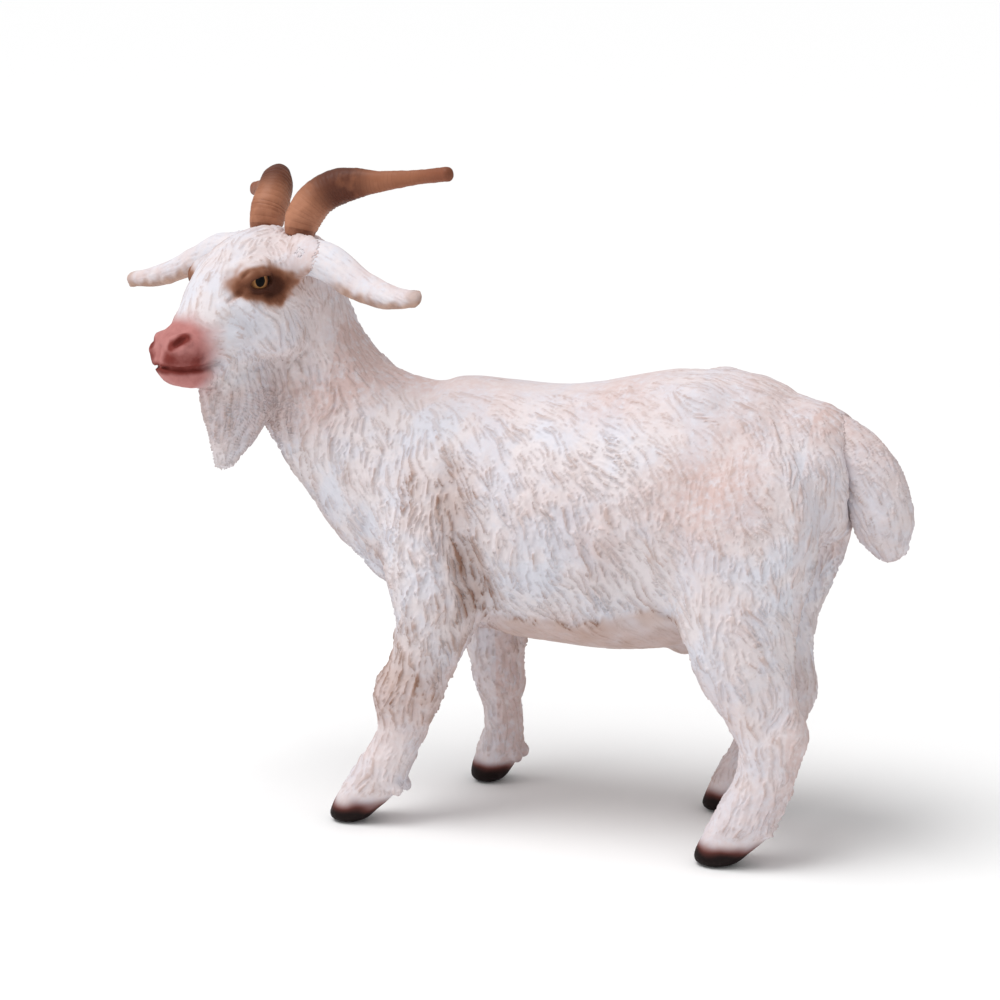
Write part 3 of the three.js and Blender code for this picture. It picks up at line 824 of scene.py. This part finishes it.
def swept(stations, side, section, rows, slices):
    """A closed surface around a bent axis.

    Stations hold place, half width along `side` and half depth. section(t, angle) gives each
    point's share of the half width and half depth; both ends close with rounded caps.
    """
    spine = np.array([[*place, width, depth] for place, width, depth in stations])
    line = along(spine, np.linspace(0, 1, SPINE_STEPS))
    steps = np.linalg.norm(np.diff(line[:, :3], axis=0), axis=1)
    lengths = np.concatenate([[0], np.cumsum(steps)])
    total = lengths[-1]
    cap = 0.95 * line[-1, 3:5].min()
    run = np.linspace(-cap, total + cap, rows)
    t = np.interp(np.clip(run, 0, total), lengths, np.linspace(0, 1, SPINE_STEPS))
    over = np.maximum(np.maximum(-run, run - total), 0) / cap
    shrink = np.sqrt(np.maximum(1 - over**2, 0.0))
    values = along(spine, t)
    ahead = (along(spine, t + 0.01) - along(spine, t - 0.01))[:, :3]
    ahead /= np.linalg.norm(ahead, axis=1, keepdims=True)
    across = side - (ahead @ side)[:, None] * ahead
    across /= np.linalg.norm(across, axis=1, keepdims=True)
    depthwise = np.cross(ahead, across)
    angle = np.linspace(0, 2 * np.pi, slices, endpoint=False)
    wide, deep = section(np.clip(run, 0, total)[:, None] / total, angle[None, :])
    centre = values[:, :3] + ahead * (run - np.clip(run, 0, total))[:, None]
    points = (
        centre[:, None, :]
        + across[:, None, :] * (wide * (values[:, 3] * shrink)[:, None])[..., None]
        + depthwise[:, None, :] * (deep * (values[:, 4] * shrink)[:, None])[..., None]
    )
    points = points[1:-1].reshape(-1, 3)
    rings = rows - 2
    ends = np.array([centre[0], centre[-1]])
    points = np.concatenate([points, ends])
    ring, slot = np.meshgrid(np.arange(rings - 1), np.arange(slices), indexing="ij")
    a = (ring * slices + slot).ravel()
    b = (ring * slices + (slot + 1) % slices).ravel()
    first = np.arange(slices)
    after = (first + 1) % slices
    base = (rings - 1) * slices
    triangles = np.concatenate([
        np.stack([a, b, b + slices], 1),
        np.stack([a, b + slices, a + slices], 1),
        np.stack([np.full(slices, len(points) - 2), after, first], 1),
        np.stack([np.full(slices, len(points) - 1), base + first, base + after], 1),
    ])
    share = np.append(np.repeat(np.clip(run / total, 0, 1)[1:-1], slices), [0, 1])
    a, b, c = (points[triangles[:, k]] for k in range(3))
    outward = np.einsum("ij,ij->i", a, np.cross(b, c)).sum() > 0
    return points, triangles if outward else triangles[:, ::-1], share


def horn_shell(side, rng):
    """A horn with growth rings that are strongest near its root."""
    bend = 4.2
    rise, ring_depth = (1.2, 0.055) if side > 0 else (-2, 0.085)
    stations = [
        (in_head(0.6, side * 3.9, -1.8), 1.7, 2),
        (in_head(-0.1, side * 4.2, 0.4), 2.1, 2.4),
        (in_head(-1.8, side * 5.2, 2.7), 2.1, 2.4),
        (in_head(-4, side * 7.6, bend), 1.9, 2.2),
        (in_head(-6.2, side * 11.8, bend + 0.2 * rise), 1.25, 1.35),
        (in_head(-8.1, side * 16.6, bend + 0.6 * rise), 0.85, 0.95),
        (in_head(-9.6, side * 21.6, bend + rise), 0.85, 0.9),
    ]
    rings = np.cumsum(rng.uniform(0.016, 0.034, HORN_RINGS))
    depth_of = rng.uniform(0.5, 1.2, HORN_RINGS)

    def section(t, angle):
        place = np.interp(t, rings, np.arange(HORN_RINGS))
        ring = np.abs(np.sin(np.pi * place)) ** 0.6 * np.interp(t, rings, depth_of)
        fade = ring_depth * (1 - 0.75 * smoothstep(0.35, 0.75, t))
        front = 0.6 + 0.4 * np.cos(angle - 1.2)
        grow = 1 - fade * 0.6 + fade * ring * front
        grow = grow + 0.03 * np.sin(3 * angle + 9 * t)
        return grow * np.cos(angle), grow * np.sin(angle)

    points, triangles, share = swept(stations, HEAD_LEFT, section, HORN_ROWS, HORN_SLICES)
    normals = vertex_normals(points, triangles)
    rough = 0.05 * noise_at(points, 0.8, 11 + side) + 0.08 * noise_at(points, 2.6, 21 + side)
    points = points + normals * rough[:, None]
    normals = vertex_normals(points, triangles)
    ridge = np.interp(share, rings, np.arange(HORN_RINGS))
    groove = np.abs(np.sin(np.pi * ridge)) ** 0.6
    return Shell(np.concatenate([points, normals, share[:, None], groove[:, None]], 1), triangles)


def ear_axes():
    """The directions across an ear: along its breadth, and out of its back."""
    broad = HEAD_UP - 0.5 * FORWARD
    flat = FORWARD + 0.5 * HEAD_UP
    return broad / np.linalg.norm(broad), flat / np.linalg.norm(flat)


def ear_shell(side, rng):
    """An ear like an upturned canoe: its rim curls down and back around a hollow."""
    back, droop, reach = (3.2, 1.6, 19) if side > 0 else (-3.8, 0.3, 20.1)
    stations = [
        (at_ear(side, back, -1.2, -4.1, 0), 1.8, 1.1),
        (at_ear(side, back, 0.8, -4.1, 0), 2.3, 1.35),
        (at_ear(side, back, 4.6, -4.3 - 0.3 * droop, 0.2), 2.45, 1.2),
        (at_ear(side, back, 9.2, -5.7 - 0.9 * droop, 0.45), 1.95, 1),
        (at_ear(side, back, 14.4, -7.5 - 0.6 * droop, 0.75), 1.5, 0.9),
        (at_ear(side, back, reach, -8.6, 1), 1.1, 0.75),
    ]
    broad, flat = ear_axes()
    crest = side  # which way along the depth the ear's back bulges

    def section(t, angle):
        wide = np.cos(angle)
        up = np.sin(angle) * crest
        outer = 1.05 - 1.1 * np.abs(wide) ** 2.2
        hollow = smoothstep(0.1, 0.3, t) * smoothstep(1.0, 0.8, t)
        solid = -np.sqrt(np.maximum(1 - wide * wide, 0)) * 0.9
        inner = outer - 0.62 - 0.35 * np.maximum(1 - wide * wide, 0)
        under = solid + hollow * (inner - solid)
        edge = smoothstep(-0.35, 0.35, up)
        deep = under + edge * (outer - under)
        return wide * (1 + 0.04 * np.sin(9 * t + 2)), crest * deep

    points, triangles, share = swept(stations, broad, section, EAR_ROWS, EAR_SLICES)
    normals = vertex_normals(points, triangles)
    wander = 0.4 * broad * noise_at(points, 3, 30)[:, None]
    run = tangent(side * HEAD_LEFT - 0.35 * HEAD_UP + wander, normals)
    strand = drawn_out(Lattice(rng, STRAND), points, run, np.full(len(points), 2.2))
    groove = smoothstep(0, -1.3, strand) * smoothstep(0.0, 0.1, share)
    rough = 0.12 * noise_at(points, 2.4, 31 + side) - 0.05 * groove
    points = points + normals * rough[:, None]
    normals = vertex_normals(points, triangles)
    inside = smoothstep(0.1, -0.45, normals @ flat)
    angle = np.linspace(0, 2 * np.pi, EAR_SLICES, endpoint=False)
    across = np.append(np.tile(np.cos(angle), EAR_ROWS - 2), [0, 0])
    across = across + 0.3 * noise_at(points, 1.1, 35)
    lower_rim = smoothstep(-0.3, -0.95, across) * smoothstep(0.3, 0.5, share)
    inside = np.maximum(0.75 * inside * smoothstep(0.2, 0.5, share), 0.9 * lower_rim)
    masks = np.stack([share, inside, groove], 1)
    return Shell(np.concatenate([points, normals, masks], 1), triangles)


def at_ear(side, back, out, up, share):
    return in_head(2.6 - back * share, side * (7.6 + out), up)


TAIL_FLOW = [
    ((40, 0, 52), (1, 0, -0.2), 3.4, 0.4),
    ((45, 0, 49), (0.7, 0, -0.7), 3.8, 0.5),
    ((49, 0, 42), (0.2, 0, -1), 3.8, 0.55),
    ((49.5, 0, 37), (0.1, 0, -1), 3.0, 0.55),
]


def tail_shell(rng):
    low, high = (np.array(tuple(corner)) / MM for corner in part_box("tail"))
    block = Block(low - 3, high + 3, COARSE, level_set(*node_mesh("tail"), COARSE, BAND))
    block.values = blurred(block.values, 0.5 / COARSE)
    coarse = level_grid(block)
    grid = level_set(*surface_of(coarse), FINE, FINE_BAND)
    table = np.array([[*at(*place), *direction, *sizes] for place, direction, *sizes in TAIL_FLOW])
    return coat_shell(grid, rng, table)


# ---- Materials ----------------------------------------------------------------------------------
def linear(*srgb):
    """A linear colour from 0-255 sRGB numbers."""
    shares = [c / 255 for c in srgb]
    return (*(s / 12.92 if s <= 0.04045 else ((s + 0.055) / 1.055) ** 2.4 for s in shares), 1)


class Paint:
    """A material's node tree, with short calls for the nodes that the paints use."""

    def __init__(self, name, roughness, **settings):
        self.material = bpy.data.materials.new(name)
        self.material.use_nodes = True
        self.tree = self.material.node_tree
        self.shader = self.tree.nodes["Principled BSDF"]
        self.shader.inputs["Roughness"].default_value = roughness
        for socket, value in settings.items():
            self.shader.inputs[socket.replace("_", " ")].default_value = value

    def node(self, kind, inputs=(), **settings):
        node = self.tree.nodes.new(kind)
        for key, value in settings.items():
            setattr(node, key, value)
        for socket, value in dict(inputs).items():
            self.put(node.inputs[socket], value)
        return node

    def put(self, socket, value):
        if isinstance(value, bpy.types.NodeSocket):
            self.tree.links.new(value, socket)
        else:
            socket.default_value = value

    def mask(self, name):
        return self.node("ShaderNodeAttribute", attribute_name=name).outputs["Fac"]

    def math(self, operation, a, b=0.0, clamp=False):
        return self.node(
            "ShaderNodeMath", {0: a, 1: b}, operation=operation, use_clamp=clamp
        ).outputs[0]

    def times(self, a, b):
        return self.math("MULTIPLY", a, b)

    def ramp(self, value, low, high):
        """0 to 1, smoothly, as the value goes from low to high."""
        return self.node(
            "ShaderNodeMapRange",
            {"Value": value, "From Min": low, "From Max": high},
            interpolation_type="SMOOTHSTEP",
        ).outputs[0]

    def noise(self, size, detail=4.0):
        """Cloudy noise, 0 to 1, with blotches of `size` mm."""
        place = self.node("ShaderNodeTexCoord").outputs["Object"]
        return self.node(
            "ShaderNodeTexNoise",
            {"Vector": place, "Scale": 1 / (size * MM), "Detail": detail, "Roughness": 0.6},
        ).outputs["Fac"]

    def mix(self, share, a, b):
        node = self.node("ShaderNodeMix", data_type="RGBA", clamp_factor=True)
        self.put(node.inputs[0], share)
        self.put(node.inputs[6], a)
        self.put(node.inputs[7], b)
        return node.outputs[2]

    def bump(self, height, strength, distance):
        inputs = {"Height": height, "Strength": strength, "Distance": distance}
        bump = self.node("ShaderNodeBump", inputs)
        self.put(self.shader.inputs["Normal"], bump.outputs[0])

    def colour(self, value):
        self.put(self.shader.inputs["Base Color"], value)


COAT_SHINE = 0.12
WHITE = linear(226, 218, 220)
COOL_WHITE = linear(219, 218, 226)
BLUSH = linear(211, 187, 183)
# Painted shade for the grooves, with a pinkish-brown tint
GROOVE_WASH_AND_SHADE = linear(176, 146, 134)
TAN = linear(178, 146, 130)
DARK_TAN = linear(120, 84, 66)
PINK = linear(190, 128, 124)
DEEP_PINK = linear(120, 50, 44)
TAN_BROWN = linear(172, 128, 106)
BROWN = linear(116, 72, 52)
DARK_BROWN = linear(66, 34, 22)
HOOF_RED = linear(112, 62, 56)
HOOF_BLACK = linear(26, 15, 14)


def coat_colour(paint):
    """White, its groove strokes darkened: painted shade, washed pinkish, and browner where the coat
    is tan.
    """
    cloud = paint.noise(5)
    grain = paint.noise(0.9)
    tan = paint.mask("tan")
    groove = paint.mask("groove")
    white = paint.mix(paint.ramp(cloud, 0.4, 0.62), WHITE, COOL_WHITE)
    blush = paint.times(paint.mask("blush"), paint.ramp(grain, 0.1, 0.7))
    base = paint.mix(blush, white, BLUSH)
    # In the grooves: painted shade all over, turning to real brown paint where the coat is tan.
    wash_and_shade = paint.math("ADD", paint.times(tan, 0.5), 0.42, clamp=True)
    base = paint.mix(paint.times(groove, wash_and_shade), base, GROOVE_WASH_AND_SHADE)
    base = paint.mix(paint.times(tan, 0.48), base, TAN)
    dark = paint.times(paint.times(tan, groove), 0.6)
    return paint.mix(dark, base, DARK_TAN)


def coat_material(name, with_face=False, with_hoof=False):
    paint = Paint(name, 0.6, Specular_IOR_Level=COAT_SHINE)
    colour = coat_colour(paint)
    if with_face:
        deep = paint.math("ADD", paint.mask("deep"), paint.times(paint.noise(1.5), 0.9))
        muzzle = paint.mix(paint.ramp(deep, 0.2, 1.35), PINK, DEEP_PINK)
        colour = paint.mix(paint.mask("muzzle"), colour, muzzle)
        patch = paint.mask("patch")
        brown = paint.mix(paint.ramp(patch, 0.55, 0.95), BROWN, DARK_BROWN)
        brown = paint.mix(paint.ramp(patch, 0.15, 0.6), TAN_BROWN, brown)
        colour = paint.mix(paint.ramp(patch, 0.0, 0.4), colour, brown)
        colour = painted_eyes(paint, colour)
    if with_hoof:
        hoof = paint.mix(paint.ramp(paint.mask("hoof"), 0.5, 0.95), HOOF_RED, HOOF_BLACK)
        colour = paint.mix(paint.ramp(paint.mask("hoof"), 0.0, 0.75), colour, hoof)
    paint.colour(colour)
    paint.bump(paint.noise(0.35, 3.0), 0.25, 0.00006)
    return paint.material


def painted_eyes(paint, colour):
    """A gold iris, a black pupil and a dark line around each eyeball."""
    place = paint.node("ShaderNodeTexCoord").outputs["Object"]
    for side in (1, -1):
        centre = in_head(EYE[0], side * EYE[1], EYE[2])
        look = HEAD_LEFT * side + 0.12 * FORWARD
        front = centre + EYE_RADIUS * look / np.linalg.norm(look)
        away = paint.node(
            "ShaderNodeVectorMath", {0: place, 1: tuple(centre * MM)}, operation="DISTANCE"
        ).outputs["Value"]
        offset = paint.node(
            "ShaderNodeVectorMath", {0: place, 1: tuple(front * MM)}, operation="SUBTRACT"
        ).outputs["Vector"]
        spread = []
        for axis, stretch in ((FORWARD, 0.95), (HEAD_UP, 0.8)):
            direction = tuple(axis * stretch / MM)
            spread.append(paint.node(
                "ShaderNodeVectorMath", {0: offset, 1: direction}, operation="DOT_PRODUCT"
            ).outputs["Value"])
        squares = [paint.math("POWER", share, 2.0) for share in spread]
        square = paint.math("ADD", *squares)
        radius = paint.math("SQRT", square)
        on_ball = paint.math("LESS_THAN", away, (EYE_RADIUS + 0.09) * MM)
        iris = paint.mix(paint.ramp(radius, 0.5, 1.1), linear(168, 122, 74), linear(104, 62, 34))
        iris = paint.mix(paint.ramp(radius, 1.05, 1.3), iris, linear(24, 12, 9))
        eyeball = paint.mix(paint.ramp(radius, 0.66, 0.58), iris, linear(2, 1, 1))
        colour = paint.mix(on_ball, colour, eyeball)
    return colour


def horn_material():
    paint = Paint("horn", 0.5, Specular_IOR_Level=0.2)
    share = paint.mask("share")
    groove = paint.mask("groove")
    cloud = paint.noise(3)
    base = paint.mix(paint.ramp(share, 0.06, 0.34), linear(182, 126, 98), linear(146, 92, 66))
    base = paint.mix(paint.ramp(cloud, 0.35, 0.7), base, linear(156, 102, 76))
    dark = paint.times(paint.ramp(share, 0.14, 0.32), paint.ramp(share, 0.6, 0.42))
    dark = paint.times(dark, paint.ramp(cloud, 0.2, 0.55))
    base = paint.mix(paint.times(dark, 0.9), base, linear(80, 40, 28))
    tip = paint.times(paint.ramp(share, 0.75, 1.0), 0.45)
    base = paint.mix(tip, base, linear(118, 62, 46))
    line = paint.times(paint.ramp(groove, 0.5, 0.0), paint.ramp(cloud, 0.3, 0.75))
    line = paint.times(line, 0.8)
    paint.colour(paint.mix(line, base, linear(96, 52, 36)))
    paint.bump(paint.noise(0.5, 4.0), 0.3, 0.00008)
    return paint.material


def ear_material():
    paint = Paint("ear", 0.6, Specular_IOR_Level=COAT_SHINE)
    grain = paint.noise(1.4)
    share = paint.mask("share")
    white = paint.mix(paint.ramp(grain, 0.3, 0.7), WHITE, COOL_WHITE)
    warm = paint.times(paint.ramp(share, 0.2, 0.7), paint.ramp(paint.noise(4), 0.3, 0.7))
    base = paint.mix(paint.times(warm, 0.8), white, BLUSH)
    inside = paint.mask("inside")
    tan = paint.mix(paint.ramp(grain, 0.3, 0.7), linear(184, 146, 124), linear(150, 108, 84))
    base = paint.mix(paint.times(inside, 0.9), base, tan)
    tip = paint.times(paint.ramp(share, 0.93, 1.0), 0.6)
    base = paint.mix(tip, base, TAN)
    # The ear's strand grooves get painted shade with a pinkish tint.
    wash_and_shade = paint.times(paint.mask("groove"), paint.ramp(grain, 0.3, 1.3))
    paint.colour(paint.mix(wash_and_shade, base, GROOVE_WASH_AND_SHADE))
    paint.bump(paint.noise(0.4, 3.0), 0.25, 0.00006)
    return paint.material


# ---- Putting it together -----------------------------------------------------------------
def make_coat(rng, inserts, tail):
    core = joined_core()
    core.values = blurred(core.values, 0.5 / COARSE)
    sculpt_body(core)
    core.values = blurred(core.values, 0.5 / COARSE)
    grid = level_set(*surface_of(level_grid(core)), FINE, FINE_BAND)
    for leg in LEGS:
        sculpt_hoof(grid, leg)
    sculpt_head(grid, inserts)
    socket = Block(at(33, -7, 44), at(45, 7, 60), FINE, grid)
    socket.cut_by(tail.data[:, :3], tail.triangles, SOCKET_ROOM)
    socket.paste(grid)
    whole = coat_shell(grid, rng, flow_table())
    tilt = math.radians(37)
    behind_neck = whole.beyond(at(-15.5, 0, 42), (math.cos(tilt), 0, -math.sin(tilt)))
    trunk, head = split(whole, behind_neck)
    hoofed = coat_material("coat_leg", with_hoof=True)
    make_piece("head", head, MASKS, coat_material("coat_head", with_face=True))
    for leg in LEGS:
        trunk, part = split(trunk, leg_distance(trunk, leg))
        make_piece(f"leg_{leg}", part, MASKS, hoofed)
    left, right = split(trunk, BODY_MIDDLE - trunk.data[:, 1], hub=at(28, 0, 52.8))
    coat = coat_material("coat")
    make_piece("body_left", left, MASKS, coat)
    make_piece("body_right", right, MASKS, coat)
    make_piece("tail", tail, MASKS, coat)


def make_horns_and_ears(rng):
    """The horns and ears, whose surfaces are returned to cut their sockets."""
    horn, ear = horn_material(), ear_material()
    inserts = []
    for side, name in ((1, "left"), (-1, "right")):
        shells = horn_shell(side, rng), ear_shell(side, rng)
        make_piece(f"horn_{name}", shells[0], HORN_MASKS, horn)
        make_piece(f"ear_{name}", shells[1], EAR_MASKS, ear)
        inserts += [(shell.data[:, :3], shell.triangles) for shell in shells]
    return inserts


# ---- Stage, lights and camera, in metres ---------------------------------------------------------
FLOOR_HALF = 30.0
FLOOR_DROP = 0.00002  # keeps the soles clear of the floor
AIM_HEIGHT = 0.04
PHOTO_AZIMUTH, PHOTO_ELEVATION = math.radians(20), math.radians(13)
CAMERA_DISTANCE = 0.4


def make_stage():
    mesh = bpy.data.meshes.new("floor")
    signs = [(-1, -1), (1, -1), (1, 1), (-1, 1)]
    corners = [(x * FLOOR_HALF, y * FLOOR_HALF, -FLOOR_DROP) for x, y in signs]
    mesh.from_pydata(corners, [], [(0, 1, 2, 3)])
    floor = bpy.data.objects.new("floor", mesh)
    bpy.context.scene.collection.objects.link(floor)
    material = bpy.data.materials.new("floor")
    material.use_nodes = True
    shader = material.node_tree.nodes["Principled BSDF"]
    shader.inputs["Base Color"].default_value = (0.93, 0.93, 0.93, 1)
    shader.inputs["Roughness"].default_value = 0.9
    mesh.materials.append(material)

    world = bpy.data.worlds.new("studio")
    bpy.context.scene.world = world
    world.use_nodes = True
    background = world.node_tree.nodes["Background"]
    background.inputs["Color"].default_value = (1, 1, 1, 1)
    background.inputs["Strength"].default_value = 0.5


def make_light(name, kind, place, energy, size):
    """A soft light that points from `place` at the goat."""
    lamp = bpy.data.lights.new(name, kind)
    lamp.energy = energy
    if kind == "SUN":
        lamp.angle = size
    else:
        lamp.size = size
    light = bpy.data.objects.new(name, lamp)
    light.location = place
    aim = Vector((0, 0, AIM_HEIGHT)) - Vector(place)
    light.rotation_euler = aim.to_track_quat("-Z", "Y").to_euler()
    bpy.context.scene.collection.objects.link(light)


def make_camera():
    target = Vector(at(0, 0, 40) * MM)
    back = Vector((
        math.sin(PHOTO_AZIMUTH) * math.cos(PHOTO_ELEVATION),
        -math.cos(PHOTO_AZIMUTH) * math.cos(PHOTO_ELEVATION),
        math.sin(PHOTO_ELEVATION),
    ))
    data = bpy.data.cameras.new("camera")
    data.sensor_width = 36
    data.lens = 115.2
    camera = bpy.data.objects.new("camera", data)
    camera.location = target + back * CAMERA_DISTANCE
    camera.rotation_euler = (-back).to_track_quat("-Z", "Y").to_euler()
    bpy.context.scene.collection.objects.link(camera)
    bpy.context.scene.camera = camera


rng = np.random.default_rng(7)
make_coat(rng, make_horns_and_ears(rng), tail_shell(rng))
make_stage()
make_light("overhead", "SUN", (-0.25, -0.22, 0.9), 2.0, math.radians(38))
make_light("front", "AREA", (-0.35, -0.6, 0.5), 0.8, 0.5)
make_camera()
bpy.context.scene.view_settings.view_transform = "Standard"
